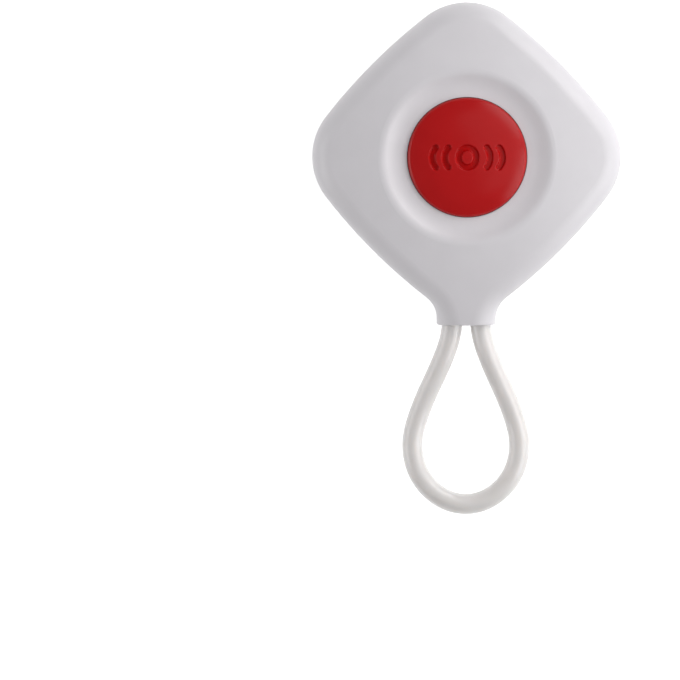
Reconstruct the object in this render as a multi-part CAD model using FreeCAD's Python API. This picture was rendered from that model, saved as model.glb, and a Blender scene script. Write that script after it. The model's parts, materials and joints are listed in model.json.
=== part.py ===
import FreeCAD, Part
import math
import os

# Wireless panic button, a pocket and pendant alarm about 60 mm across.
# The body is a square pebble that stands on one rounded corner. A soft cord loop leaves its neck.
# Frame: +Z is the face with the button, the flat back lies at Z = 0, the button's axis is X = Y = 0,
# and the neck with the cord loop points along -Y. All sizes are in millimetres.

Vector = FreeCAD.Vector
UP = Vector(0, 0, 1)

# Outline of the body
body_half_diagonal = 30.0   # from the button's axis to a rounded corner
corner_radius = 12.75
side_radius = 110.0         # the four sides bow out a little
neck_width = 11.5
neck_reach = 32.7           # from the button's axis to the neck's end face
neck_fillet = 5.5           # where a side runs into the neck
neck_edge = 0.35            # rounding of the end face's rim
neck_stock = 3.0            # the neck is made this much too long and then cut square

# Section of the body
crown_height = 14.0         # where the crowned front would peak if it had no dish
crown_radius = 110.0
front_edge_radius = 4.6
back_edge_radius = 2.6
split_height = 4.8          # where the two covers meet, which is also the cord's height
shadow_depth = 0.2          # of the fine step round the joint of the covers
shadow_height = 0.25
side_wall = 2.4
crown_wall = 1.8
floor_wall = 1.5

# Dish round the button
dish_radius = 16.3
dish_curve = 7.0            # radius of the dish's concave section
dish_wall = 1.4
dish_rim_radius = 2.6
bore_ledge = 0.7            # flat ring between the bore and the dish's curve

# Button cap
cap_radius = 11.53
cap_gap = 0.13              # dark ring round the cap
cap_rim_proud = 0.15        # where the cap's rounded edge starts above the dish floor
cap_dome_radius = 70.0
cap_shoulder_start = 5.5    # the dome falls away faster outside this radius
cap_shoulder_radius = 20.0
cap_edge_radius = 0.8
cap_top_wall = 1.5
cap_land_wall = 1.25        # over the flat land that the silicone ring pushes on
cap_land_width = 2.2
cap_skirt_wall = 1.3
cap_flange_reach = 1.3      # how far the retaining flange stands out under the cover
cap_flange_thickness = 0.9
cap_stop_gap = 0.05
cap_post_radius = 2.2
cap_rib_count = 6
cap_rib_thickness = 0.9
cap_rib_depth = 0.3         # how deep the ribs hang below the land
cap_rib_gap = 0.7           # between a rib's end and the silicone ring
button_travel = 0.4
guide_gap = 0.3             # between the flange and the ring that guides it
guide_wall = 1.0
key_width = 2.2
key_depth = 0.8
key_gap = 0.15

# Battery stack, from the back cover's floor up to the board
pad_thickness = 0.5
pad_length = 12.0
pad_width = 8.0
clip_thickness = 0.25
clip_width = 5.0
clip_leg_width = 3.0
clip_leg_gap = 0.05         # between a leg and the holder
slot_gap = 0.15             # round each leg in the board
solder_reach = 0.4          # how far a leg stands through the board
cell_radius = 10.0
cell_height = 3.2
cell_can_height = 2.8       # up to the crimp round the cell's smaller cap
cell_cap_radius = 8.7
cell_edge = 0.35
contact_length = 9.0
contact_width = 3.0
contact_leg_width = 1.5
contact_thickness = 0.2
holder_base = 0.35
holder_wall = 1.5
holder_gap = 0.2            # round the cell
holder_lift = 0.5           # between the clip and the holder's foot
holder_notch = 7.0          # finger notches at the cell's two ends
well_gap = 0.9              # between the holder and the ring on the back cover
well_wall = 0.8
board_thickness = 1.0

# Silicone ring that pushes the cap up
diaphragm_skirt_gap = 0.7   # between its top and the cap's skirt
diaphragm_switch_gap = 0.33  # between its foot and the switch's feet
diaphragm_ring = 1.4        # width of its foot and of its top
diaphragm_foot = 0.6
diaphragm_lip = 0.5
diaphragm_web = 0.35

# Parts on the board
antenna_edge = 0.7          # from the board's edge to the antenna's track
antenna_width = 1.2
antenna_thickness = 0.1
antenna_gap_start = 10.4    # the track stops this far from the button's axis, on the neck's side
component_inset = 7.9       # from the middle of a side to the larger components
component_step = 2.0        # small parts lie this far inside or outside that circle
chip_length = 4.9
chip_width = 3.9
chip_height = 1.3
chip_lift = 0.15
lead_pitch = 1.27
lead_width = 0.42
lead_thickness = 0.2
lead_reach = 1.05
lead_lean = 0.1             # how far a lead's bend leans out
resonator_length = 10.0
resonator_width = 4.2
resonator_height = 2.6
resonator_flange = 0.3
transistor_length = 2.9
transistor_width = 1.3
transistor_height = 1.0
chip_part_length = 1.6
chip_part_width = 0.8
capacitor_height = 0.8
resistor_height = 0.45

# Chamber that holds the electronics
chamber_corner = 3.0
chamber_gap = 0.15          # between the front cover's wall and what stands up inside it
board_gap = 0.5

# Seal and tongue in the joint between the covers
seal_width = 0.9
seal_height = 0.8
tongue_width = 0.84
groove_width = 1.0

# Screws
screw_corner_inset = 9.2    # from a rounded corner to its screw
screw_wall_inset = 2.8      # from the chamber's end wall to the screw in front of the neck
screw_radius = 1.0
screw_head_radius = 1.9
screw_head_height = 1.3
screw_head_depth = 0.5      # how deep the head sits below the back
screw_edge = 0.35           # chamfer of the head and of the tip
recess_reach = 1.1          # cross recess, from its middle to the end of an arm
recess_width = 0.5
recess_depth = 0.7
screw_bite = 2.0            # length of thread in the front cover
screw_gap = 0.02
screw_clearance = 0.2
back_boss_wall = 1.0
front_boss_wall = 1.9
boss_rib_thickness = 1.0
boss_rib_lift = 0.6         # between the board and a boss's rib
boss_rib_root = 0.6         # how far a boss's rib runs into the corner's wall
boss_thread_end = 0.4       # hole past the screw's tip

# Cord and its ferrule
cord_radius = 2.0
cord_pitch = 5.0            # between the two ends where they leave the neck
cord_gap = 0.15             # round the cord in the neck's end wall
ferrule_wall = 0.43
ferrule_gap = 0.02          # round the cord in the ferrule
ferrule_length = 3.2
ferrule_socket = 2.4
ferrule_pocket_gap = 0.1
neck_end_wall = 2.7         # between the ferrule's pocket and the neck's end face
chamber_end_wall = 3.0      # between the chamber and the ferrule's pocket
cord_mouth = 0.3            # chamfer at each cord hole

# Push switch
switch_side = 6.0
switch_height = 2.0
switch_plate = 0.25
switch_stem_height = 0.75   # stem above the steel plate
switch_stem_radius = 1.7
switch_flange_radius = 2.1
switch_floor = 0.3
switch_disc_rise = 0.6
switch_disc_thickness = 0.1
switch_gap = 0.1
switch_seat_gap = 0.02
terminal_length = 1.0
terminal_width = 0.7
terminal_thickness = 0.2
terminal_offset = 2.25      # from the switch's middle to each foot

# Heights that follow from the sizes above
clip_bottom = floor_wall + pad_thickness
cell_bottom = clip_bottom + clip_thickness
cell_top = cell_bottom + cell_height
contact_top = cell_top + contact_thickness
board_bottom = contact_top + holder_base
board_top = board_bottom + board_thickness
crown_centre = crown_height - crown_radius
bore_radius = cap_radius + cap_gap
dish_inner = bore_radius + bore_ledge
dish_rim_height = crown_centre + math.sqrt(crown_radius ** 2 - dish_radius ** 2)
dish_depth = dish_curve - math.sqrt(dish_curve ** 2 - (dish_radius - dish_inner) ** 2)
dish_floor = dish_rim_height - dish_depth
dish_underside = dish_floor - dish_wall
cap_rim_height = dish_floor + cap_rim_proud
cap_flange_top = dish_underside - cap_stop_gap
cap_flange_bottom = cap_flange_top - cap_flange_thickness
cap_flange_radius = cap_radius + cap_flange_reach
guide_radius = cap_flange_radius + guide_gap
holder_radius = cell_radius + holder_gap + holder_wall
holder_bottom = cell_bottom + holder_lift
plate_bottom = board_top + switch_height
stem_top = plate_bottom + switch_plate + switch_stem_height
seal_bottom = split_height - 2 * seal_height
seal_top = seal_bottom + seal_height
pocket_end = neck_reach - neck_end_wall
ferrule_end = pocket_end - ferrule_pocket_gap
ferrule_start = ferrule_end - ferrule_length
pocket_start = ferrule_start - ferrule_pocket_gap
cord_start = ferrule_end - ferrule_socket
chamber_reach = pocket_start - chamber_end_wall
screw_reach = body_half_diagonal - screw_corner_inset
end_screw_reach = chamber_reach - screw_wall_inset
switch_corner = math.hypot(switch_side / 2 + terminal_length, terminal_offset + terminal_width / 2)
diaphragm_foot_radius = switch_corner + diaphragm_switch_gap + diaphragm_ring / 2
diaphragm_top_radius = cap_radius - cap_skirt_wall - diaphragm_skirt_gap - diaphragm_ring / 2
above_all = 2 * crown_height

# The cap's section: a shallow dome, a rounder shoulder and a small edge, each tangent to the next
dome_slope = math.asin(cap_shoulder_start / cap_dome_radius)
shoulder_centre_x = cap_shoulder_start - cap_shoulder_radius * math.sin(dome_slope)
shoulder_reach = cap_radius - cap_edge_radius - shoulder_centre_x
shoulder_slope = math.asin(shoulder_reach / (cap_shoulder_radius - cap_edge_radius))
shoulder_centre_z = cap_rim_height - (cap_shoulder_radius - cap_edge_radius) * math.cos(shoulder_slope)
dome_centre_z = shoulder_centre_z - (cap_dome_radius - cap_shoulder_radius) * math.cos(dome_slope)
cap_top = dome_centre_z + cap_dome_radius


def cap_height(radius):
    """The height of the cap's outer face at a radius on its dome or shoulder."""
    if radius < cap_shoulder_start:
        return dome_centre_z + math.sqrt(cap_dome_radius ** 2 - radius ** 2)
    return shoulder_centre_z + math.sqrt(cap_shoulder_radius ** 2 - (radius - shoulder_centre_x) ** 2)


cap_ceiling = cap_height(cap_radius - cap_skirt_wall) - cap_land_wall

# Centres that the outline's arcs share, whatever its offset
corner_centre = body_half_diagonal - corner_radius
centre_span = side_radius - corner_radius
side_centre = (math.sqrt(2 * centre_span ** 2 - corner_centre ** 2) - corner_centre) / 2
component_circle = side_radius - math.sqrt(2) * side_centre - component_inset
fillet_x = neck_width / 2 + neck_fillet
fillet_y = side_centre - math.sqrt((side_radius + neck_fillet) ** 2 - (fillet_x + side_centre) ** 2)


def arc(centre, start, end):
    """The arc of less than half a turn about a centre, from start to end."""
    radius = (start - centre).Length
    middle = ((start - centre).normalize() + (end - centre).normalize()).normalize()
    return Part.Arc(start, centre + middle * radius, end).toShape()


def line(start, end):
    return Part.LineSegment(start, end).toShape()


def mirrored(point):
    return Vector(-point.x, point.y, point.z)


def prism(wire, bottom, top):
    face = Part.Face(wire)
    face.translate(Vector(0, 0, bottom))
    return face.extrude(Vector(0, 0, top - bottom))


def upper_outline(inset):
    """The arcs that the body's and the chamber's outlines share: three corners and the upper sides."""
    right = Vector(corner_centre, 0, 0)
    top = Vector(0, corner_centre, 0)
    towards = (right + Vector(side_centre, side_centre, 0)).normalize()
    upper = right + towards * (corner_radius - inset)
    lower = Vector(upper.x, -upper.y, 0)
    apex = Vector(upper.y, upper.x, 0)
    centre = Vector(-side_centre, -side_centre, 0)
    edges = [
        arc(right, lower, upper),
        arc(centre, upper, apex),
        arc(top, apex, mirrored(apex)),
        arc(mirrored(centre), mirrored(apex), mirrored(upper)),
        arc(mirrored(right), mirrored(upper), mirrored(lower)),
    ]
    return edges, lower


def lower_side(meeting, inset):
    """The point where a lower side ends at an arc that is centred at meeting."""
    centre = Vector(-side_centre, side_centre, 0)
    return centre, centre + (meeting - centre).normalize() * (side_radius - inset)


def body_outline(inset, reach):
    """The whole outline with its neck, moved inwards by inset, with the neck ending at -reach."""
    edges, corner = upper_outline(inset)
    fillet = Vector(fillet_x, fillet_y, 0)
    centre, side_end = lower_side(fillet, inset)
    neck_top = Vector(neck_width / 2 - inset, fillet_y, 0)
    neck_end = Vector(neck_top.x, -reach, 0)
    edges += [
        arc(mirrored(centre), mirrored(corner), mirrored(side_end)),
        arc(mirrored(fillet), mirrored(side_end), mirrored(neck_top)),
        line(mirrored(neck_top), mirrored(neck_end)),
        line(mirrored(neck_end), neck_end),
        line(neck_end, neck_top),
        arc(fillet, neck_top, side_end),
        arc(centre, side_end, corner),
    ]
    return Part.Wire(edges)


def chamber_outline(grow):
    """The chamber's outline, moved outwards by grow. A straight wall closes it before the neck."""
    inset = side_wall - grow
    edges, corner = upper_outline(inset)
    centre_y = chamber_corner - chamber_reach
    inner_radius = side_radius - side_wall - chamber_corner
    centre_x = math.sqrt(inner_radius ** 2 - (centre_y - side_centre) ** 2) - side_centre
    turn = Vector(centre_x, centre_y, 0)
    centre, side_end = lower_side(turn, inset)
    foot = Vector(centre_x, centre_y - chamber_corner - grow, 0)
    edges += [
        arc(mirrored(centre), mirrored(corner), mirrored(side_end)),
        arc(mirrored(turn), mirrored(side_end), mirrored(foot)),
        line(mirrored(foot), foot),
        arc(turn, foot, side_end),
        arc(centre, side_end, corner),
    ]
    return Part.Wire(edges)


def crown_ball(radius):
    return Part.makeSphere(radius, Vector(0, 0, crown_centre))


def box(x_low, x_high, y_low, y_high, z_low, z_high):
    return Part.makeBox(x_high - x_low, y_high - y_low, z_high - z_low, Vector(x_low, y_low, z_low))


def cylinder(radius, bottom, top, x=0.0, y=0.0):
    return Part.makeCylinder(radius, top - bottom, Vector(x, y, bottom), UP)


def ring(inner, outer, bottom, top, x=0.0, y=0.0):
    return cylinder(outer, bottom, top, x, y).cut(cylinder(inner, bottom, top, x, y))


def turned(edges):
    """The solid that a closed profile of edges in the XZ plane sweeps about the Z axis."""
    return Part.Face(Part.Wire(edges)).revolve(Vector(0, 0, 0), UP, 360)


def circles(shape, radius, height):
    """The circular edges of a shape that have this radius and lie at this height."""
    found = []
    for edge in shape.Edges:
        if edge.Degenerated or not isinstance(edge.Curve, Part.Circle):
            continue
        if abs(edge.Curve.Radius - radius) < 0.02 and abs(edge.Curve.Center.z - height) < 0.02:
            found.append(edge)
    return found


def at(radius, height):
    return Vector(radius, 0, height)


def polygon(points):
    return [line(a, b) for a, b in zip(points, points[1:] + points[:1])]


def put(shape, x, y, angle=0.0):
    """A copy of a shape, turned about Z and then moved."""
    copy = shape.copy()
    copy.rotate(Vector(0, 0, 0), UP, angle)
    copy.translate(Vector(x, y, 0))
    return copy


def round_the_axis(shape, radius, angle):
    """A copy of a shape set at a radius and a compass angle, with its own Y axis pointing outwards."""
    turn = math.radians(angle)
    return put(shape, radius * math.cos(turn), radius * math.sin(turn), angle - 90)


screw_places = [
    (screw_reach, 0.0),
    (0.0, screw_reach),
    (-screw_reach, 0.0),
    (0.0, -end_screw_reach),
]
cord_sides = (-cord_pitch / 2, cord_pitch / 2)


def body_blank():
    """The closed outer form of both covers together."""
    stock_end = neck_reach + neck_stock
    blank = prism(body_outline(0, stock_end), 0, above_all).common(crown_ball(crown_radius))

    def rim(face):
        return [edge for edge in face.Edges if edge.CenterOfMass.y > neck_edge - stock_end]

    crown = next(face for face in blank.Faces if isinstance(face.Surface, Part.Sphere))
    blank = blank.makeFillet(front_edge_radius, rim(crown))
    back = next(face for face in blank.Faces if face.BoundBox.ZMax < 0.01)
    blank = blank.makeFillet(back_edge_radius, rim(back))
    wide = 2 * body_half_diagonal
    blank = blank.common(box(-wide, wide, -neck_reach, wide, -1, above_all))
    end = next(face for face in blank.Faces if face.BoundBox.YMax < 0.01 - neck_reach)
    return blank.makeFillet(neck_edge, end.Edges)


def dish_section(wall):
    """The profile of everything above the dish's surface, or above its underside with the dish's wall."""
    centre = at(dish_inner, dish_floor + dish_curve)
    radius = dish_curve + wall
    at_crown = math.asin((dish_radius - dish_inner) / dish_curve)
    steep = (at_crown + math.pi / 2) / 2
    start = at(dish_inner, dish_floor - wall)
    middle = centre + at(radius * math.sin(steep / 2), -radius * math.cos(steep / 2))
    end = centre + at(radius * math.sin(steep), -radius * math.cos(steep))
    return [
        line(at(0, start.z), start),
        Part.Arc(start, middle, end).toShape(),
        line(end, at(end.x, above_all)),
        line(at(end.x, above_all), at(0, above_all)),
        line(at(0, above_all), at(0, start.z)),
    ]


def cord_holes():
    """The two round holes in the neck's end wall, with a small chamfer at each mouth."""
    holes = []
    radius = cord_radius + cord_gap
    out = Vector(0, -1, 0)
    for x in cord_sides:
        start = Vector(x, -pocket_start - ferrule_length / 2, split_height)
        hole = Part.makeCylinder(radius, neck_reach + start.y + 1, start, out)
        foot = Vector(x, cord_mouth - neck_reach, split_height)
        mouth = Part.makeCone(radius, radius + 2 * cord_mouth, 2 * cord_mouth, foot, out)
        holes += [hole, mouth]
    return holes


def twin_barrel(radius, start, end):
    """A bar of two round barrels side by side, one for each end of the cord, between two places on Y."""
    half = cord_pitch / 2
    barrels = [
        Part.makeCylinder(radius, end - start, Vector(x, -start, split_height), Vector(0, -1, 0))
        for x in cord_sides
    ]
    web = box(-half, half, -end, -start, split_height - radius, split_height + radius)
    return barrels[0].fuse([barrels[1], web]).removeSplitter()


def ferrule_pocket():
    radius = cord_radius + ferrule_gap + ferrule_wall + ferrule_pocket_gap
    return twin_barrel(radius, pocket_start, pocket_end)


def front_boss(x, y):
    """A screw boss that stands on the board, tied to the corner's wall by a rib if it stands free."""
    boss = cylinder(screw_radius + front_boss_wall, board_top, above_all, x, y)
    if y < 0:
        return boss
    half = boss_rib_thickness / 2
    reach = screw_corner_inset - side_wall + boss_rib_root
    rib = box(-half, half, 0, reach, board_top + boss_rib_lift, above_all)
    return boss.fuse(round_the_axis(rib, screw_reach, math.degrees(math.atan2(y, x))))


def shadow_line():
    """The shallow step round the front cover's foot, which makes the joint a clean line."""
    stepped = prism(body_outline(shadow_depth, neck_reach), split_height - 1, split_height + 1)
    wide = 2 * body_half_diagonal
    band = box(-wide, wide, shadow_depth - neck_reach, wide, split_height - 1, split_height + 1)
    slab = box(-wide, wide, -wide, wide, split_height, split_height + shadow_height)
    return slab.cut(stepped.common(band))


def front_cover():
    cover = body_blank().cut(turned(dish_section(0)))
    cover = cover.makeFillet(dish_rim_radius, circles(cover, dish_radius, dish_rim_height))
    wide = 2 * body_half_diagonal
    cover = cover.common(box(-wide, wide, -wide, wide, split_height, above_all))
    cover = cover.cut(shadow_line())
    chamber = prism(chamber_outline(0), split_height - 1, above_all)
    inner_ball = crown_ball(crown_radius - crown_wall)
    cavity = chamber.common(inner_ball).cut(turned(dish_section(dish_wall)))
    cover = cover.cut(cavity)
    bosses = [front_boss(x, y) for x, y in screw_places]
    middle_ball = crown_ball(crown_radius - crown_wall / 2)
    guide = ring(guide_radius, guide_radius + guide_wall,
                 cap_flange_bottom - button_travel, dish_underside + dish_wall / 2)
    tongue = prism(chamber_outline((side_wall + tongue_width) / 2), seal_top, split_height + 0.5).cut(
        prism(chamber_outline((side_wall - tongue_width) / 2), seal_top - 1, split_height + 1))
    cover = cover.fuse([boss.common(middle_ball) for boss in bosses] + [guide, tongue])
    for angle in (0, 180):
        cover = cover.fuse(round_the_axis(guide_key(0), guide_radius, angle))
    cover = cover.cut([
        cylinder(screw_radius + screw_gap, board_top - 1, board_top + screw_bite + boss_thread_end, x, y)
        for x, y in screw_places
    ])
    cover = cover.cut([cylinder(bore_radius, 0, above_all), ferrule_pocket()] + cord_holes())
    return cover.removeSplitter()


def guide_key(gap):
    """The key that keeps the cap from turning, or its slot in the cap's flange if gap is more than 0."""
    half = key_width / 2 + gap
    inwards = key_depth + guide_gap + gap
    bottom = cap_flange_bottom - (button_travel if gap == 0 else 1)
    return box(-half, half, -inwards, guide_wall / 2, bottom, dish_underside + dish_wall / 4)


def back_cover():
    wide = 2 * body_half_diagonal
    cover = body_blank().common(box(-wide, wide, -wide, wide, -1, split_height))
    cover = cover.cut(prism(chamber_outline(0), floor_wall, split_height + 1))
    groove = prism(chamber_outline((side_wall + groove_width) / 2), seal_bottom, split_height + 1).cut(
        prism(chamber_outline((side_wall - groove_width) / 2), seal_bottom - 1, split_height + 2))
    cover = cover.cut(groove)
    head_seat = screw_head_depth + screw_head_height
    boss_radius = screw_head_radius + screw_clearance + back_boss_wall
    inside = prism(chamber_outline(-chamber_gap), split_height, board_bottom)
    for x, y in screw_places:
        above = cylinder(boss_radius, split_height, board_bottom, x, y).common(inside)
        cover = cover.fuse([cylinder(boss_radius, floor_wall / 2, split_height, x, y), above])
    cover = cover.fuse(battery_well())
    for x, y in screw_places:
        cover = cover.cut([
            cylinder(screw_head_radius + screw_clearance, -1, head_seat, x, y),
            cylinder(screw_radius + screw_clearance, 0, board_bottom + 1, x, y),
        ])
    cover = cover.cut([ferrule_pocket()] + cord_holes())
    return cover.removeSplitter()


def battery_well():
    """The low round rib on the back cover that the battery holder drops into."""
    inner = holder_radius + well_gap
    return ring(inner, inner + well_wall, floor_wall / 2, holder_bottom)


def housing_seal():
    outer = chamber_outline((side_wall + seal_width) / 2)
    inner = chamber_outline((side_wall - seal_width) / 2)
    return prism(outer, seal_bottom, seal_top).cut(prism(inner, seal_bottom - 1, seal_top + 1))


def cap_ring(radius, slope, centre_x, centre_z):
    """The point of an arc of the cap's section where its slope from level has this angle."""
    return at(centre_x + radius * math.sin(slope), centre_z + radius * math.cos(slope))


def cap_face():
    """The outer face of the cap's section: dome, shoulder and edge."""
    edge_x = cap_radius - cap_edge_radius
    arcs = [
        (cap_dome_radius, 0, dome_slope, 0, dome_centre_z),
        (cap_shoulder_radius, dome_slope, shoulder_slope, shoulder_centre_x, shoulder_centre_z),
        (cap_edge_radius, shoulder_slope, math.pi / 2, edge_x, cap_rim_height),
    ]
    return [
        Part.Arc(*[cap_ring(radius, slope, x, z) for slope in (low, (low + high) / 2, high)]).toShape()
        for radius, low, high, x, z in arcs
    ]


def button_cap():
    """A domed disc on a skirt, with a flange that stops under the cover and a post that meets the switch."""
    skirt = cap_radius - cap_skirt_wall
    land = skirt - cap_land_width
    between = (land + cap_post_radius) / 2
    under = [at(radius, cap_height(radius) - cap_top_wall) for radius in (land, between, cap_post_radius)]
    outside = [
        at(cap_radius, cap_rim_height),
        at(cap_radius, cap_flange_top),
        at(cap_flange_radius, cap_flange_top),
        at(cap_flange_radius, cap_flange_bottom),
        at(skirt, cap_flange_bottom),
        at(skirt, cap_ceiling),
        at(land, cap_ceiling),
        under[0],
    ]
    post = [
        under[-1],
        at(cap_post_radius, stem_top + switch_seat_gap),
        at(0, stem_top + switch_seat_gap),
        at(0, cap_top),
    ]
    profile = cap_face() + [line(a, b) for a, b in zip(outside, outside[1:])]
    profile += [Part.Arc(*under).toShape()] + [line(a, b) for a, b in zip(post, post[1:])]
    cap = turned(profile)
    rib_reach = diaphragm_top_radius - diaphragm_ring / 2 - cap_rib_gap
    rib = box(-cap_rib_thickness / 2, cap_rib_thickness / 2, 0, rib_reach,
              cap_ceiling - cap_rib_depth, cap_height(rib_reach) - cap_top_wall / 2)
    step = 360 / cap_rib_count
    cap = cap.fuse([put(rib, 0, 0, step * (i + 0.5)) for i in range(cap_rib_count)])
    for angle in (0, 180):
        cap = cap.cut(round_the_axis(guide_key(key_gap), guide_radius, angle))
    return cap.removeSplitter()


def return_diaphragm():
    """The soft silicone ring that stands on the board round the switch and pushes the cap back up."""
    half = diaphragm_ring / 2
    low = board_top + diaphragm_foot
    high = cap_ceiling - diaphragm_lip
    return turned(polygon([
        at(diaphragm_foot_radius - half, board_top),
        at(diaphragm_foot_radius + half, board_top),
        at(diaphragm_foot_radius + half, low),
        at(diaphragm_top_radius + half, high),
        at(diaphragm_top_radius + half, cap_ceiling),
        at(diaphragm_top_radius - half, cap_ceiling),
        at(diaphragm_top_radius - half, high + diaphragm_lip / 2),
        at(diaphragm_foot_radius + half - 2 * diaphragm_web, low + diaphragm_foot),
        at(diaphragm_foot_radius - half, low),
    ]))


def circuit_board():
    board = prism(chamber_outline(-board_gap), board_bottom, board_top)
    holes = [cylinder(screw_radius + screw_clearance, board_bottom - 1, board_top + 1, x, y)
             for x, y in screw_places]
    slots = [leg.copy() for leg in clip_legs(slot_gap)]
    return board.cut(holes + slots + [contact_leg(slot_gap)])


def loop_antenna():
    """A flat copper track round the board's edge, open across the neck."""
    outer = prism(chamber_outline(-board_gap - antenna_edge), board_top, board_top + antenna_thickness)
    inner = prism(chamber_outline(-board_gap - antenna_edge - antenna_width), board_top - 1, board_top + 1)
    open_side = box(-body_half_diagonal, body_half_diagonal, -2 * body_half_diagonal, -antenna_gap_start,
                    board_top - 1, board_top + 1)
    return outer.cut([inner, open_side])


def battery_cell():
    """A coin cell with its positive can towards the back and its smaller negative cap towards the board."""
    crimp = cell_bottom + cell_can_height
    return turned(polygon([
        at(0, cell_bottom),
        at(cell_radius - cell_edge, cell_bottom),
        at(cell_radius, cell_bottom + cell_edge),
        at(cell_radius, crimp - cell_edge),
        at(cell_radius - cell_edge, crimp),
        at(cell_cap_radius + cell_edge, crimp),
        at(cell_cap_radius, cell_top),
        at(0, cell_top),
    ]))


def battery_holder():
    """A round tray under the board, with a notch on each side to push the cell out."""
    notch = holder_notch / 2
    holder = cylinder(holder_radius, holder_bottom, board_bottom)
    holder = holder.cut(cylinder(cell_radius + holder_gap, holder_bottom - 1, contact_top))
    across = 2 * holder_radius
    holder = holder.cut(box(-notch, notch, -across, across, holder_bottom - 1, contact_top))
    return holder.cut(contact_leg(slot_gap))


def clip_legs(gap):
    """The positive clip's two legs, or their slots if gap is more than 0."""
    inner = holder_radius + clip_leg_gap - gap
    outer = holder_radius + clip_leg_gap + clip_thickness + gap
    half = clip_leg_width / 2 + gap
    leg = box(inner, outer, -half, half, clip_bottom, board_top + solder_reach)
    return [leg, put(leg, 0, 0, 180)]


def positive_clip():
    """A steel strip that crosses the cell's back and is soldered into the board at both ends."""
    reach = holder_radius + clip_leg_gap + clip_thickness
    half = clip_width / 2
    strip = box(-reach, reach, -half, half, clip_bottom, cell_bottom)
    return strip.fuse(clip_legs(0)).removeSplitter()


def contact_leg(gap):
    half = contact_leg_width / 2 + gap
    return box(contact_length / 2 - contact_thickness - gap, contact_length / 2 + gap, -half, half,
               contact_top - contact_thickness / 2, board_top + solder_reach)


def negative_contact():
    """A leaf between the cell's cap and the holder's base, with one leg up through the board."""
    leaf = box(-contact_length / 2, contact_length / 2, -contact_width / 2, contact_width / 2,
               cell_top, contact_top)
    return leaf.fuse(contact_leg(0)).removeSplitter()


def battery_pad():
    """Foam between the back cover and the clip."""
    return box(-pad_length / 2, pad_length / 2, -pad_width / 2, pad_width / 2, floor_wall, clip_bottom)


def switch_base():
    half = switch_side / 2
    base = box(-half, half, -half, half, board_top, plate_bottom)
    well = cylinder(switch_flange_radius + 2 * switch_gap, board_top + switch_floor, plate_bottom + 1)
    return base.cut(well)


def switch_top_plate():
    half = switch_side / 2
    plate = box(-half, half, -half, half, plate_bottom, plate_bottom + switch_plate)
    return plate.cut(cylinder(switch_stem_radius + switch_gap, plate_bottom - 1, plate_bottom + 1))


def switch_snap_disc():
    """The thin steel dome that clicks under the plunger."""
    radius = switch_flange_radius
    rise = switch_disc_rise - switch_disc_thickness
    low = board_top + switch_floor
    bow = (radius ** 2 + rise ** 2) / (2 * rise)
    half = radius / 2
    sag = bow - math.sqrt(bow ** 2 - half ** 2)

    def skin(height):
        return Part.Arc(at(0, height), at(half, height - sag), at(radius, height - rise)).toShape()

    under = low + rise
    over = under + switch_disc_thickness
    return turned([skin(under), line(at(radius, low), at(radius, over - rise)),
                   skin(over), line(at(0, over), at(0, under))])


def switch_plunger():
    bottom = board_top + switch_floor + switch_disc_rise + switch_seat_gap
    flange = cylinder(switch_flange_radius, bottom, plate_bottom - switch_seat_gap)
    return flange.fuse(cylinder(switch_stem_radius, bottom, stem_top)).removeSplitter()


def switch_terminals():
    """Four flat tin feet, two on each side of the switch."""
    half = switch_side / 2
    foot = box(half, half + terminal_length, -terminal_width / 2, terminal_width / 2,
               board_top, board_top + terminal_thickness)
    places = [(turn, y) for turn in (0, 180) for y in (-terminal_offset, terminal_offset)]
    return Part.makeCompound([put(put(foot, 0, y), 0, 0, turn) for turn, y in places])


def encoder_chip():
    body = box(-chip_length / 2, chip_length / 2, -chip_width / 2, chip_width / 2,
               board_top + chip_lift, board_top + chip_lift + chip_height)
    return round_the_axis(body, component_circle, 135)


def encoder_leads():
    """Eight bent leads, four along each long side of the chip."""
    root = chip_width / 2
    shoulder = board_top + chip_lift + chip_height / 2
    foot = board_top + lead_thickness
    profile = [
        Vector(0, root, shoulder),
        Vector(0, root + 2 * lead_thickness, shoulder),
        Vector(0, root + 2 * lead_thickness + lead_lean, foot),
        Vector(0, root + lead_reach, foot),
        Vector(0, root + lead_reach, board_top),
        Vector(0, root + lead_thickness, board_top),
        Vector(0, root + lead_thickness - lead_lean / 2, shoulder - lead_thickness),
        Vector(0, root, shoulder - lead_thickness),
    ]
    lead = Part.Face(Part.Wire(polygon(profile))).extrude(Vector(lead_width, 0, 0))
    leads = []
    for side in (0, 180):
        for i in range(4):
            x = (i - 1.5) * lead_pitch - lead_width / 2
            leads.append(round_the_axis(put(put(lead, x, 0), 0, 0, side), component_circle, 135))
    return Part.makeCompound(leads)


def stadium(length, width, bottom, top):
    half = (length - width) / 2
    ends = [cylinder(width / 2, bottom, top, x) for x in (-half, half)]
    middle = box(-half, half, -width / 2, width / 2, bottom, top)
    return middle.fuse(ends).removeSplitter()


def saw_resonator():
    """The metal can that sets the radio's frequency, on the board's back."""
    can = stadium(resonator_length, resonator_width, board_bottom - resonator_height, board_bottom)
    grow = 2 * resonator_flange
    flange = stadium(resonator_length + grow, resonator_width + grow,
                     board_bottom - resonator_flange, board_bottom)
    return round_the_axis(can.fuse(flange).removeSplitter(), component_circle, 225)


def transmitter_transistor():
    body = box(-transistor_length / 2, transistor_length / 2, -transistor_width / 2, transistor_width / 2,
               board_top, board_top + transistor_height)
    return round_the_axis(body, component_circle, 45)


def small_parts(places, height):
    """A group of equal chip parts, each at a distance outside the component circle and a compass angle."""
    part = box(-chip_part_length / 2, chip_part_length / 2, -chip_part_width / 2, chip_part_width / 2,
               board_top, board_top + height)
    return Part.makeCompound([round_the_axis(part, component_circle + out, angle) for out, angle in places])


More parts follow.
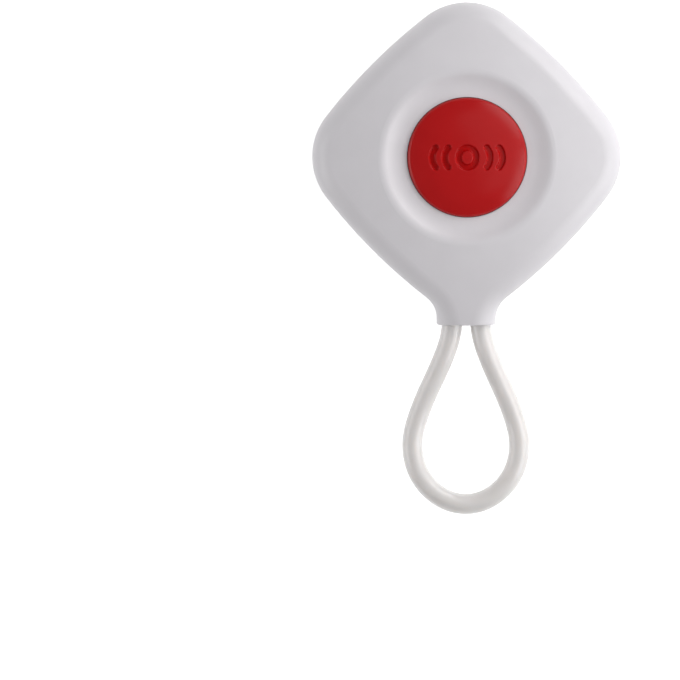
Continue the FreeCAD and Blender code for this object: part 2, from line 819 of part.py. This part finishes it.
def chip_capacitors():
    inside = [(-component_step, angle) for angle in (30, 38, 150)]
    outside = [(component_step, angle) for angle in (38, 52)]
    return small_parts(inside + outside, capacitor_height)


def chip_resistors():
    inside = [(-component_step, angle) for angle in (60, 68, 112, 120)]
    outside = [(component_step, angle) for angle in (118, 152)]
    return small_parts(inside + outside, resistor_height)


def cover_screw():
    """A pan-head screw that points up from the back, with a cross recess in its head."""
    seat = screw_head_depth + screw_head_height
    tip = board_top + screw_bite
    screw = turned(polygon([
        at(0, screw_head_depth),
        at(screw_head_radius - screw_edge, screw_head_depth),
        at(screw_head_radius, screw_head_depth + screw_edge),
        at(screw_head_radius, seat),
        at(screw_radius, seat),
        at(screw_radius, tip - screw_edge),
        at(screw_radius - screw_edge, tip),
        at(0, tip),
    ]))
    half = recess_width / 2
    arm = box(-recess_reach, recess_reach, -half, half, 0, screw_head_depth + recess_depth)
    return screw.cut([arm, put(arm, 0, 0, 90)])


def cover_screws():
    return Part.makeCompound([put(cover_screw(), x, y) for x, y in screw_places])


def cord_ferrule():
    """A crimped double ferrule that keeps both ends of the cord in the neck."""
    radius = cord_radius + ferrule_gap + ferrule_wall
    ferrule = twin_barrel(radius, ferrule_start, ferrule_end)
    sockets = [
        Part.makeCylinder(cord_radius + ferrule_gap, ferrule_socket + 1,
                          Vector(x, -cord_start, split_height), Vector(0, -1, 0))
        for x in cord_sides
    ]
    return ferrule.cut(sockets)


# The cord's route from its left end in the ferrule, straight out of the neck, down to the table and
# round the loop. The right half is its mirror image.
left_route = [
    Vector(-cord_pitch / 2, -cord_start, split_height),
    Vector(-cord_pitch / 2, -33.0, split_height),
    Vector(-4.25, -39.1, 4.15),
    Vector(-9.05, -49.3, 2.45),
    Vector(-10.9, -56.6, 2.05),
    Vector(-8.85, -63.4, 2.02),
    Vector(-3.25, -67.8, 2.02),
]
cord_route = left_route + [mirrored(point) for point in reversed(left_route)]


def rounded_path(points):
    """Straight runs joined by the largest tangent arcs that the runs allow."""
    edges = []
    here = points[0]
    for before, corner, after in zip(points, points[1:], points[2:]):
        back = (before - corner)
        ahead = (after - corner)
        reach = 0.45 * min(back.Length, ahead.Length)
        turn = math.pi - back.getAngle(ahead)
        radius = reach / math.tan(turn / 2)
        print("cord: turn %.0f degrees, radius %.1f mm" % (math.degrees(turn), radius))
        start = corner + back.normalize() * reach
        end = corner + ahead.normalize() * reach
        inwards = (back + ahead).normalize()
        middle = corner + inwards * (math.hypot(radius, reach) - radius)
        edges += [line(here, start), Part.Arc(start, middle, end).toShape()]
        here = end
    edges.append(line(here, points[-1]))
    return Part.Wire(edges)


def lanyard_cord():
    path = rounded_path(cord_route)
    section = Part.Wire(Part.makeCircle(cord_radius, cord_route[0], Vector(0, -1, 0)))
    tube = path.makePipeShell([section], True, False)
    expected = math.pi * cord_radius ** 2 * path.Length
    print("cord: length %.1f mm, volume %.1f, expected %.1f" % (path.Length, tube.Volume, expected))
    return tube


NODES = {
    "front_cover": front_cover,
    "back_cover": back_cover,
    "housing_seal": housing_seal,
    "button_cap": button_cap,
    "return_diaphragm": return_diaphragm,
    "circuit_board": circuit_board,
    "loop_antenna": loop_antenna,
    "battery_cell": battery_cell,
    "battery_holder": battery_holder,
    "battery_positive_clip": positive_clip,
    "battery_negative_contact": negative_contact,
    "battery_pad": battery_pad,
    "switch_base": switch_base,
    "switch_top_plate": switch_top_plate,
    "switch_snap_disc": switch_snap_disc,
    "switch_plunger": switch_plunger,
    "switch_terminals": switch_terminals,
    "encoder_chip": encoder_chip,
    "encoder_leads": encoder_leads,
    "saw_resonator": saw_resonator,
    "transmitter_transistor": transmitter_transistor,
    "chip_capacitors": chip_capacitors,
    "chip_resistors": chip_resistors,
    "cover_screws": cover_screws,
    "cord_ferrule": cord_ferrule,
    "lanyard_cord": lanyard_cord,
}

os.makedirs("parts", exist_ok=True)
for node, make in NODES.items():
    shape = make()
    solids = len(shape.Solids)
    print("%s: valid %s, solids %d, volume %.2f mm3" % (node, shape.isValid(), solids, shape.Volume))
    shape.exportStep("parts/%s.step" % node)
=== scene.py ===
import json
import math

import bmesh
import bpy
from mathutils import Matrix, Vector


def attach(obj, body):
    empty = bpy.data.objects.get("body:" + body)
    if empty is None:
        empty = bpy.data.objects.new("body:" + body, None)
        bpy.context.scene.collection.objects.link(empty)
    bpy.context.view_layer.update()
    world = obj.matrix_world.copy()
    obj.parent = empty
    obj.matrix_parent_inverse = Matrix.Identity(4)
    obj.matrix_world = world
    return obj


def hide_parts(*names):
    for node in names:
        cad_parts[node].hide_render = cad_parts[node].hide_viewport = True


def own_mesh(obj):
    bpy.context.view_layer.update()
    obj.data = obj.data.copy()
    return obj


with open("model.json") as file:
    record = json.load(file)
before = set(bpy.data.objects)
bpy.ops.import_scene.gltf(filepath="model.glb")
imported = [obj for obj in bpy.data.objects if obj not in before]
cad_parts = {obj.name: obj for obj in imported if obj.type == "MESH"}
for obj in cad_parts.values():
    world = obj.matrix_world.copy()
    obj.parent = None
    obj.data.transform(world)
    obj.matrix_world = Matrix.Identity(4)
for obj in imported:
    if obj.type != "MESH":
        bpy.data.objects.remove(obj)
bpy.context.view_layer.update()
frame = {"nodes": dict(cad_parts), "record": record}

# Wireless panic button: a white moulded pebble on its corner, a red push button in a round dish and a
# soft cord loop at the neck. It lies on its flat back, with the button up. Sizes are in millimetres
# and turned into metres by MM.

MM = 0.001
scene = bpy.context.scene

# The photograph's frame: its real width and middle on a plane near the covers' joint
view_width = 132.26
view_centre = (-24.57, -35.65)
view_plane = 5.0
view_lean = (-2.5, -0.3)    # degrees about X and Y, away from straight down
lens = 400.0
sensor = 36.0

# Lights, all facing the button: azimuth and elevation in degrees, where azimuth 0 is +X and 90 is +Y, then
# distance, width and height in metres and power in watts
lights = {
    "key_far": (45, 34, 0.4, 0.27, 0.27, 0.61),
    "key_near": (-20, 34, 0.4, 0.27, 0.27, 0.57),
    "high_right": (20, 60, 0.4, 0.4, 0.4, 0.25),
    "low_right": (5, 18, 0.9, 1.3, 0.5, 0.9),
    "low_left": (186, 21, 0.9, 0.7, 0.6, 2.6),
}
soft_light = 0.24           # the world's even light on the surfaces
mirror_overhead = 0.15      # how bright mirrors see the world overhead; near the horizon it is white
mirror_fade = (0.12, 0.65)  # between these rises of a direction it fades

# Floor
floor_half = 3.0            # metres
floor_drop = 0.02
floor_tone = 0.9
floor_glow = 0.77           # lifts the floor to white for what looks straight at it

# Cord
cord_diameter = 4.0
left_route = [
    (-2.5, -27.5, 4.8),
    (-2.5, -33.0, 4.8),
    (-4.25, -39.1, 4.15),
    (-9.05, -49.3, 2.45),
    (-10.9, -56.6, 2.05),
    (-8.85, -63.4, 2.02),
    (-3.25, -67.8, 2.02),
]

# Chip parts on the board: they lie inside and outside a circle, square to the button's axis
component_circle = 17.8
component_step = 2.0
chip_reach = 1.0            # around a chip part's middle
chip_bare_half = 0.5        # half the length between its tinned ends

# Soft parts that the button presses flat: the joint, the height of the foot and their own height
folding = {
    "return_diaphragm": ("button_press", 7.0, 4.498),
    "switch_snap_disc": ("switch_press", 7.3, 0.6),
}

# Button cap: a shallow dome, a rounder shoulder and a small edge, with a symbol sunk into the dome
cap_radius = 11.53
cap_rim_height = 11.7215
cap_dome_radius = 70.0
cap_shoulder_start = 5.5
cap_shoulder_radius = 20.0
cap_edge_radius = 0.8
cap_edge_steps = 14
cap_columns = 480
cap_rows_apart = 0.24
cap_rim_slack = 0.001       # how far below the rim's height the outer face's vertices may lie
cap_weld = 0.0002           # joins the vertices that the carried-over mesh splits at its edges
cap_least_rise = 0.02       # the outer face's normals rise by more than this
symbol_reach = 7.6          # rows of the cap's face are close together inside this radius
symbol_rows_apart = 0.06
symbol_stroke = 1.1
symbol_depth = 0.55
symbol_slope = 0.34         # width of the rounded wall along each stroke
symbol_ring = (1.7, 1.9)    # half width and half height of the ring's middle line
symbol_arc = 3.0            # radius of the arcs on both sides
symbol_arc_ends = 1.9       # half height of an arc's middle line
symbol_arc_reaches = (4.4, 6.8)


def srgb(red, green, blue):
    """A colour given as it looks on a screen, 0 to 255, as linear light."""
    def linear(value):
        share = value / 255
        return share / 12.92 if share <= 0.04045 else ((share + 0.055) / 1.055) ** 2.4
    return (linear(red), linear(green), linear(blue), 1.0)


def add(tree, kind, inputs=None, **settings):
    """A new node with its settings and inputs. An input is a value or the socket that feeds it."""
    node = tree.nodes.new(kind)
    for name, value in settings.items():
        setattr(node, name, value)
    for name, value in (inputs or {}).items():
        if isinstance(value, bpy.types.NodeSocket):
            tree.links.new(value, node.inputs[name])
        else:
            node.inputs[name].default_value = value
    return node


def millimetres(tree):
    """A piece's own coordinates in millimetres, which move with it."""
    place = add(tree, "ShaderNodeTexCoord").outputs["Object"]
    made = add(tree, "ShaderNodeVectorMath", {0: place, "Scale": 1 / MM}, operation="SCALE")
    return made.outputs["Vector"]


def scaled(tree, place, factors):
    """Coordinates stretched by a factor on each axis."""
    return add(tree, "ShaderNodeVectorMath", {0: place, 1: factors}, operation="MULTIPLY").outputs["Vector"]


def maths(tree, operation, first, second=0.0):
    """The result of one sum on numbers or sockets."""
    return add(tree, "ShaderNodeMath", {0: first, 1: second}, operation=operation).outputs[0]


def noise(tree, place, size, detail=2.0):
    """Soft noise from 0 to 1 with features of about this size in millimetres."""
    made = add(tree, "ShaderNodeTexNoise", {"Vector": place, "Scale": 1 / size, "Detail": detail})
    return made.outputs["Fac"]


def spread(tree, value, low, high, start=0.3, end=0.7):
    """A value from start to end, mapped to low to high."""
    made = add(tree, "ShaderNodeMapRange", {
        "Value": value, "From Min": start, "From Max": end, "To Min": low, "To Max": high})
    return made.outputs["Result"]


def blended(tree, share, first, second):
    """Two colours mixed by a share. A colour is four numbers or the socket that feeds it."""
    made = add(tree, "ShaderNodeMix", {0: share, 6: first, 7: second}, data_type="RGBA")
    return made.outputs[2]


def relief(tree, height, depth, strength=1.0, below=None):
    """A bump of this depth in millimetres, on top of another one if given."""
    inputs = {"Height": height, "Distance": depth * MM, "Strength": strength}
    if below is not None:
        inputs["Normal"] = below
    return add(tree, "ShaderNodeBump", inputs).outputs["Normal"]


def material(name):
    """A new material, its node tree and its main shader."""
    made = bpy.data.materials.new(name)
    made.use_nodes = True
    return made, made.node_tree, made.node_tree.nodes["Principled BSDF"]


def feed(tree, shader, **inputs):
    """Sets the shader's inputs, named in lower case with underscores."""
    sockets = {socket.name.lower().replace(" ", "_"): socket for socket in shader.inputs}
    for name, value in inputs.items():
        if isinstance(value, bpy.types.NodeSocket):
            tree.links.new(value, sockets[name])
        else:
            sockets[name].default_value = value


def moulded(name, colour, shade, roughness, peel, specular=0.5):
    """Moulded plastic: a faint mottle, uneven gloss, a soft orange peel and a fine grain."""
    made, tree, shader = material(name)
    place = millimetres(tree)
    mottle = noise(tree, place, 6.0, 3.0)
    feed(tree, shader,
         base_color=blended(tree, spread(tree, mottle, 0, 1), shade, colour),
         roughness=spread(tree, noise(tree, place, 2.2, 4.0), roughness - 0.03, roughness + 0.03),
         specular_ior_level=specular)
    wavy = relief(tree, noise(tree, place, 1.6), peel)
    feed(tree, shader, normal=relief(tree, noise(tree, place, 0.12), 0.0012, below=wavy))
    return made


def white_abs():
    """The satin white plastic of both covers."""
    return moulded("white_abs", srgb(223, 220, 224), srgb(220, 217, 221), 0.40, 0.004, 0.8)


def red_abs():
    """Glossy red plastic, with painted shade where the cap's mesh is marked as sunk: the sunk symbol's
    strokes turn a darker, deeper red.
    """
    made = moulded("red_abs", srgb(184, 24, 26), srgb(180, 22, 24), 0.2, 0.003, 0.24)
    tree = made.node_tree
    colour = tree.nodes["Principled BSDF"].inputs["Base Color"]
    sunk = add(tree, "ShaderNodeAttribute", attribute_name="sunk").outputs["Fac"]
    # Painted shade: the sunk strokes are painted a darker, deeper red
    painted_shade = blended(tree, sunk, colour.links[0].from_socket, srgb(180, 1, 3))
    tree.links.new(painted_shade, colour)
    return made


def white_silicone():
    """Extruded silicone: satin and slightly translucent, with a faint mottle and a fine grain."""
    made, tree, shader = material("white_silicone")
    place = millimetres(tree)
    mottle = spread(tree, noise(tree, place, 4.0, 3.0), 0, 1)
    feed(tree, shader,
         base_color=blended(tree, mottle, srgb(225, 222, 220), srgb(229, 226, 225)),
         roughness=spread(tree, noise(tree, place, 1.5, 3.0), 0.40, 0.48),
         coat_weight=1.0,
         coat_roughness=0.2,
         coat_ior=1.5,
         subsurface_weight=0.8,
         subsurface_radius=(1.0, 0.95, 0.9),
         subsurface_scale=2.0 * MM)
    feed(tree, shader, normal=relief(tree, noise(tree, place, 0.15), 0.002))
    return made


def metal(name, colour, shade, roughness, lines=(1, 1, 1), depth=0.002, grain=0.3):
    """Metal with uneven tone and gloss, and a fine grain that is drawn out where lines are below 1."""
    made, tree, shader = material(name)
    place = millimetres(tree)
    drawn = scaled(tree, place, lines)
    fine = noise(tree, drawn, grain, 3.0)
    tone = maths(tree, "ADD", maths(tree, "MULTIPLY", noise(tree, place, 3.0, 3.0), 0.6),
                 maths(tree, "MULTIPLY", fine, 0.4))
    feed(tree, shader, base_color=blended(tree, spread(tree, tone, 0, 1), shade, colour), metallic=1.0,
         roughness=spread(tree, noise(tree, drawn, 2 * grain, 3.0), roughness - 0.06, roughness + 0.08))
    feed(tree, shader, normal=relief(tree, fine, depth))
    return made


def turned_metal(name, colour, shade, roughness):
    """Pressed metal with fine rings round the button's axis."""
    made, tree, shader = material(name)
    place = millimetres(tree)
    flat = scaled(tree, place, (1, 1, 0))
    out = add(tree, "ShaderNodeVectorMath", {0: flat}, operation="LENGTH").outputs["Value"]
    rings = noise(tree, add(tree, "ShaderNodeCombineXYZ", {0: out}).outputs[0], 0.12, 3.0)
    worn = noise(tree, place, 2.5, 4.0)
    feed(tree, shader, base_color=blended(tree, spread(tree, worn, 0, 1), shade, colour), metallic=1.0,
         roughness=spread(tree, rings, roughness - 0.06, roughness + 0.08))
    feed(tree, shader, normal=relief(tree, rings, 0.0015))
    return made


def rubber(name, colour, shade, roughness):
    """Soft silicone: matt and a little waxy, with flow marks and dust specks."""
    made, tree, shader = material(name)
    place = millimetres(tree)
    dust = spread(tree, noise(tree, place, 0.25, 1.0), 0, 0.35, 0.66, 0.74)
    body = blended(tree, spread(tree, noise(tree, place, 3.0, 3.0), 0, 1), shade, colour)
    feed(tree, shader, base_color=blended(tree, dust, body, srgb(225, 225, 222)),
         roughness=spread(tree, noise(tree, place, 1.0, 3.0), roughness - 0.06, roughness + 0.06),
         subsurface_weight=0.15, subsurface_radius=(0.6, 0.6, 0.6), subsurface_scale=MM,
         normal=relief(tree, noise(tree, place, 0.2), 0.004))
    return made


def green_laminate():
    """Glass laminate under a green solder mask, with the weave just showing through."""
    made, tree, shader = material("green_laminate")
    place = millimetres(tree)
    weave = []
    for across in ("X", "Y"):
        waves = add(tree, "ShaderNodeTexWave", {"Vector": place, "Scale": 0.55, "Distortion": 0.6},
                    wave_type="BANDS", bands_direction=across)
        weave.append(waves.outputs["Fac"])
    cloth = maths(tree, "MULTIPLY", *weave)
    mask = blended(tree, spread(tree, cloth, 0, 1, 0.1, 0.8), srgb(14, 78, 44), srgb(24, 98, 58))
    pooled = spread(tree, noise(tree, place, 2.0, 3.0), 0, 0.4)
    feed(tree, shader, base_color=blended(tree, pooled, mask, srgb(12, 70, 40)),
         roughness=spread(tree, noise(tree, place, 0.8, 3.0), 0.26, 0.38),
         normal=relief(tree, cloth, 0.01))
    return made


def black_foam():
    """Closed cell foam: small open cells on its cut faces, with painted shade in the cells' hollows."""
    made, tree, shader = material("black_foam")
    place = millimetres(tree)
    cells = add(tree, "ShaderNodeTexVoronoi", {"Vector": place, "Scale": 3.0}).outputs["Distance"]
    # Painted shade: the cells' hollows, low in the bump, are painted darker than their rims
    feed(tree, shader, base_color=blended(tree, spread(tree, cells, 0, 1, 0.1, 0.6), srgb(22, 22, 23),
                                          srgb(52, 52, 55)),
         roughness=spread(tree, noise(tree, place, 0.5), 0.85, 0.97), specular_ior_level=0.2,
         normal=relief(tree, cells, 0.12))
    return made


def end_share(tree, place, centres):
    """1 near both ends of chip parts that lie square to the button's axis, and 0 on their middles."""
    nearest = 1.0
    for x, y in centres:
        reach = math.hypot(x, y)
        along = add(tree, "ShaderNodeVectorMath", {0: place, 1: (-y / reach, x / reach, 0)},
                    operation="DOT_PRODUCT").outputs["Value"]
        apart = add(tree, "ShaderNodeVectorMath", {0: scaled(tree, place, (1, 1, 0)), 1: (x, y, 0)},
                    operation="DISTANCE").outputs["Value"]
        own = maths(tree, "LESS_THAN", apart, chip_reach)
        middle = maths(tree, "LESS_THAN", maths(tree, "ABSOLUTE", along), chip_bare_half)
        outside = maths(tree, "SUBTRACT", 1.0, maths(tree, "MULTIPLY", own, middle))
        nearest = maths(tree, "MINIMUM", nearest, outside)
    return nearest


def chip_part(name, colour, shade, roughness, centres):
    """A ceramic chip part with a tinned cap at each end."""
    made, tree, shader = material(name)
    place = millimetres(tree)
    tinned = end_share(tree, place, centres)
    body = blended(tree, spread(tree, noise(tree, place, 0.4, 3.0), 0, 1), shade, colour)
    spots = spread(tree, noise(tree, place, 0.2, 3.0), 0, 1)
    tin = blended(tree, spots, srgb(188, 189, 192), srgb(214, 215, 217))
    feed(tree, shader, base_color=blended(tree, tinned, body, tin), metallic=tinned,
         roughness=spread(tree, noise(tree, place, 0.3, 3.0), roughness - 0.05, roughness + 0.07),
         normal=relief(tree, noise(tree, place, 0.1), 0.003))
    return made


def chip_places(inside, outside):
    """Where the chip parts of a group lie: at angles from +X, inside and outside the components' circle."""
    places = []
    for step, angles in ((-component_step, inside), (component_step, outside)):
        reach = component_circle + step
        for angle in angles:
            turn = math.radians(angle)
            places.append((reach * math.cos(turn), reach * math.sin(turn)))
    return places


def set_camera():
    """The photograph's viewpoint: far off and almost straight above."""
    data = bpy.data.cameras.new("camera")
    data.lens = lens
    data.sensor_width = sensor
    data.clip_start = 0.01
    data.clip_end = 20
    camera = bpy.data.objects.new("camera", data)
    scene.collection.objects.link(camera)
    camera.rotation_euler = [math.radians(angle) for angle in view_lean] + [0]
    back = camera.rotation_euler.to_matrix() @ Vector((0, 0, view_width * lens / sensor))
    camera.location = (Vector((*view_centre, view_plane)) + back) * MM
    scene.camera = camera


def area_light(name, azimuth, elevation, distance, width, height, power):
    """A soft light that faces the button."""
    data = bpy.data.lights.new(name, "AREA")
    data.shape = "RECTANGLE"
    data.size = width
    data.size_y = height
    data.energy = power
    light = bpy.data.objects.new(name, data)
    scene.collection.objects.link(light)
    turn, rise = math.radians(azimuth), math.radians(elevation)
    flat = math.cos(rise)
    towards = Vector((math.cos(turn) * flat, math.sin(turn) * flat, math.sin(rise)))
    light.location = towards * distance
    light.visible_camera = False
    light.rotation_mode = "QUATERNION"
    light.rotation_quaternion = towards.to_track_quat("Z", "Y")


def seen_directly(tree):
    """1 for rays from the camera and for mirrored and transmitted ones, and 0 for soft light."""
    path = add(tree, "ShaderNodeLightPath")
    two = maths(tree, "MAXIMUM", path.outputs["Is Camera Ray"], path.outputs["Is Glossy Ray"])
    return maths(tree, "MAXIMUM", two, path.outputs["Is Transmission Ray"])


def set_world():
    """An even soft light. Mirrors see it fade from white at the horizon to darker overhead."""
    world = bpy.data.worlds.new("studio")
    world.use_nodes = True
    scene.world = world
    tree = world.node_tree
    tree.nodes.clear()
    direction = add(tree, "ShaderNodeTexCoord").outputs["Generated"]
    rise = add(tree, "ShaderNodeSeparateXYZ", {0: direction}).outputs["Z"]
    mirrored = spread(tree, rise, 1.0, mirror_overhead, *mirror_fade)
    path = add(tree, "ShaderNodeLightPath")
    white = maths(tree, "MAXIMUM", path.outputs["Is Camera Ray"], path.outputs["Is Transmission Ray"])
    glossy = path.outputs["Is Glossy Ray"]
    light = add(tree, "ShaderNodeMix", {0: glossy, 2: soft_light, 3: mirrored}).outputs[0]
    strength = add(tree, "ShaderNodeMix", {0: white, 2: light, 3: 1.0}).outputs[0]
    shown = add(tree, "ShaderNodeBackground", {"Color": (1, 1, 1, 1), "Strength": strength})
    add(tree, "ShaderNodeOutputWorld", {"Surface": shown.outputs[0]})
    world.cycles.sampling_method = "NONE"


def set_floor():
    """A plain white floor. What looks straight at it sees it white, and it keeps a faint shadow."""
    mesh = bpy.data.meshes.new("floor")
    low = -floor_drop * MM
    corners = [(-floor_half, -floor_half, low), (floor_half, -floor_half, low),
               (floor_half, floor_half, low), (-floor_half, floor_half, low)]
    mesh.from_pydata(corners, [], [(0, 1, 2, 3)])
    floor = bpy.data.objects.new("floor", mesh)
    scene.collection.objects.link(floor)
    made = bpy.data.materials.new("floor_white")
    made.use_nodes = True
    tree = made.node_tree
    tree.nodes.clear()
    diffuse = add(tree, "ShaderNodeBsdfDiffuse", {"Color": (floor_tone, floor_tone, floor_tone, 1)})
    glow = add(tree, "ShaderNodeEmission", {"Color": (1, 1, 1, 1), "Strength": floor_glow})
    both = add(tree, "ShaderNodeAddShader", {0: diffuse.outputs[0], 1: glow.outputs[0]})
    seen = seen_directly(tree)
    mix = add(tree, "ShaderNodeMixShader", {0: seen, 1: diffuse.outputs[0], 2: both.outputs[0]})
    add(tree, "ShaderNodeOutputMaterial", {"Surface": mix.outputs[0]})
    mesh.materials.append(made)


def make_cord(finish):
    """The cord loop: one smooth curve along the route, from one end in the ferrule to the other."""
    route = left_route + [(-x, y, z) for x, y, z in reversed(left_route)]
    curve = bpy.data.curves.new("cord_loop", "CURVE")
    curve.dimensions = "3D"
    spline = curve.splines.new("NURBS")
    spline.points.add(len(route) - 1)
    for point, place in zip(spline.points, route):
        point.co = (*(Vector(place) * MM), 1.0)
    spline.order_u = 3
    spline.use_endpoint_u = True
    spline.resolution_u = 24
    curve.bevel_depth = cord_diameter / 2 * MM
    curve.bevel_resolution = 14
    curve.use_fill_caps = True
    curve.materials.append(finish)
    loop = bpy.data.objects.new("cord_loop", curve)
    scene.collection.objects.link(loop)
    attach(loop, "housing")
    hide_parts("lanyard_cord")


def sunk_share(distance):
    """How far the surface has sunk at a distance from the symbol's edge: 0 outside and 1 inside."""
    share = min(max(0.5 - distance / symbol_slope, 0), 1)
    return share * share * (3 - 2 * share)


def symbol_distance(x, y):
    """The distance from a place on the cap to the symbol's edge, negative inside a stroke."""
    wide, high = symbol_ring
    near = math.hypot(x / wide, y / high)
    slope = math.hypot(x / wide ** 2, y / high ** 2)
    distances = [abs(near * (near - 1) / slope) if slope else wide]
    end_x = math.sqrt(symbol_arc ** 2 - symbol_arc_ends ** 2)
    for reach in symbol_arc_reaches:
        along = abs(x) - (reach - symbol_arc)
        if along > 0 and abs(y) / along < symbol_arc_ends / end_x:
            distances.append(abs(math.hypot(along, y) - symbol_arc))
        else:
            distances.append(math.hypot(along - end_x, abs(y) - symbol_arc_ends))
    return min(distances) - symbol_stroke / 2


def cap_rows():
    """Radius and height of each row of the cap's outer face, from the middle to just above its rim."""
    dome_slope = math.asin(cap_shoulder_start / cap_dome_radius)
    shoulder_x = cap_shoulder_start - cap_shoulder_radius * math.sin(dome_slope)
    edge_x = cap_radius - cap_edge_radius
    shoulder_slope = math.asin((edge_x - shoulder_x) / (cap_shoulder_radius - cap_edge_radius))
    shoulder_z = cap_rim_height - (cap_shoulder_radius - cap_edge_radius) * math.cos(shoulder_slope)
    dome_z = shoulder_z - (cap_dome_radius - cap_shoulder_radius) * math.cos(dome_slope)
    rows = []
    radius = symbol_rows_apart
    edge_start = edge_x + cap_edge_radius * math.sin(shoulder_slope)
    while radius < edge_start:
        if radius < cap_shoulder_start:
            rows.append((radius, dome_z + math.sqrt(cap_dome_radius ** 2 - radius ** 2)))
        else:
            height = math.sqrt(cap_shoulder_radius ** 2 - (radius - shoulder_x) ** 2)
            rows.append((radius, shoulder_z + height))
        radius += symbol_rows_apart if radius < symbol_reach else cap_rows_apart
    for step in range(cap_edge_steps):
        turn = shoulder_slope + (math.pi / 2 - shoulder_slope) * step / cap_edge_steps
        out, up = cap_edge_radius * math.sin(turn), cap_edge_radius * math.cos(turn)
        rows.append((edge_x + out, cap_rim_height + up))
    return dome_z + cap_dome_radius, rows


def zip_rings(mesh, outer, inner):
    """Faces between two closed rings of vertices that have different counts and both run anticlockwise."""
    def turn(vertex):
        return math.atan2(vertex.co.y, vertex.co.x) % (2 * math.pi)

    outer = sorted(outer, key=turn)
    inner = sorted(inner, key=turn)
    o = i = 0
    while o < len(outer) or i < len(inner):
        next_outer = turn(outer[o % len(outer)]) + (2 * math.pi if o >= len(outer) else 0)
        next_inner = turn(inner[i % len(inner)]) + (2 * math.pi if i >= len(inner) else 0)
        if o < len(outer) and (i >= len(inner) or next_outer <= next_inner):
            mesh.faces.new((outer[o - 1], outer[o], inner[(i - 1) % len(inner)]))
            o += 1
        else:
            mesh.faces.new((outer[o - 1], inner[i], inner[i - 1]))
            i += 1


def make_cap(finish):
    """The cap with a denser outer face that carries the sunk symbol. The rest is the carried-over mesh."""
    mesh = bmesh.new()
    mesh.from_mesh(frame["nodes"]["button_cap"].data)
    sunk = mesh.verts.layers.float.new("sunk")
    bmesh.ops.remove_doubles(mesh, verts=mesh.verts, dist=cap_weld * MM)
    rim = (cap_rim_height - cap_rim_slack) * MM
    face = [f for f in mesh.faces if f.normal.z > cap_least_rise and all(v.co.z > rim for v in f.verts)]
    bmesh.ops.delete(mesh, geom=face, context="FACES")
    outer = [v for v in mesh.verts if v.is_boundary]
    top, rows = cap_rows()
    rings = []
    for radius, height in rows:
        ring = []
        for column in range(cap_columns):
            turn = 2 * math.pi * column / cap_columns
            x, y = radius * math.cos(turn), radius * math.sin(turn)
            share = sunk_share(symbol_distance(x, y))
            vertex = mesh.verts.new(Vector((x, y, height - symbol_depth * share)) * MM)
            # The same share is the mask for the painted shade of the strokes in the red material
            vertex[sunk] = share
            ring.append(vertex)
        rings.append(ring)
    middle = mesh.verts.new((0, 0, top * MM))
    for column in range(cap_columns):
        mesh.faces.new((middle, rings[0][column - 1], rings[0][column]))
        for near, far in zip(rings, rings[1:]):
            mesh.faces.new((near[column - 1], far[column - 1], far[column], near[column]))
    zip_rings(mesh, outer, rings[-1])
    data = bpy.data.meshes.new("button_cap_sunk")
    mesh.to_mesh(data)
    mesh.free()
    data.shade_smooth()
    data.set_sharp_from_angle(angle=math.radians(30))
    data.materials.append(finish)
    cap = bpy.data.objects.new("button_cap_sunk", data)
    scene.collection.objects.link(cap)
    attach(cap, "button")
    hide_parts("button_cap")


def dress(finishes):
    """Gives each carried-over node the material of its slot."""
    for part in frame["record"]["subparts"]:
        node = frame["nodes"][part["node"]]
        node.data.materials.clear()
        node.data.materials.append(finishes[part["material_slot"]])


def fold_soft_parts():
    """The silicone ring and the snap disc flatten towards their feet as the button goes down; here each
    only gets a mesh of its own.
    """
    for name, (joint, foot, height) in folding.items():
        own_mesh(frame["nodes"][name])


scene.view_settings.view_transform = "Standard"
set_camera()
set_world()
set_floor()
for name, values in lights.items():
    area_light(name, *values)

finishes = {
    "white_abs": white_abs(),
    "red_abs": red_abs(),
    "white_silicone": white_silicone(),
    "grey_silicone": rubber("grey_silicone", srgb(196, 198, 200), srgb(182, 184, 187), 0.6),
    "green_laminate": green_laminate(),
    "copper": metal("copper", srgb(224, 182, 118), srgb(204, 158, 96), 0.3),
    "cell_steel": turned_metal("cell_steel", srgb(208, 208, 206), srgb(188, 188, 187), 0.3),
    "black_nylon": moulded("black_nylon", srgb(34, 34, 36), srgb(28, 28, 30), 0.5, 0.006),
    "spring_steel": metal("spring_steel", srgb(200, 198, 194), srgb(178, 176, 172), 0.28, (0.08, 1, 1)),
    "black_foam": black_foam(),
    "tinned_metal": metal("tinned_metal", srgb(214, 215, 217), srgb(194, 195, 198), 0.36, depth=0.004),
    "black_epoxy": moulded("black_epoxy", srgb(38, 38, 38), srgb(31, 31, 31), 0.62, 0.01),
    "tan_ceramic": chip_part("tan_ceramic", srgb(184, 148, 112), srgb(164, 128, 94), 0.5,
                             chip_places((30, 38, 150), (38, 52))),
    "black_ceramic": chip_part("black_ceramic", srgb(44, 44, 48), srgb(34, 34, 38), 0.35,
                               chip_places((60, 68, 112, 120), (118, 152))),
    "screw_steel": metal("screw_steel", srgb(196, 197, 201), srgb(174, 175, 180), 0.34, grain=0.15),
    "crimp_aluminium": metal("crimp_aluminium", srgb(204, 205, 207), srgb(184, 185, 188), 0.45, depth=0.01),
}
dress(finishes)
make_cap(finishes["red_abs"])
make_cord(finishes["white_silicone"])
fold_soft_parts()
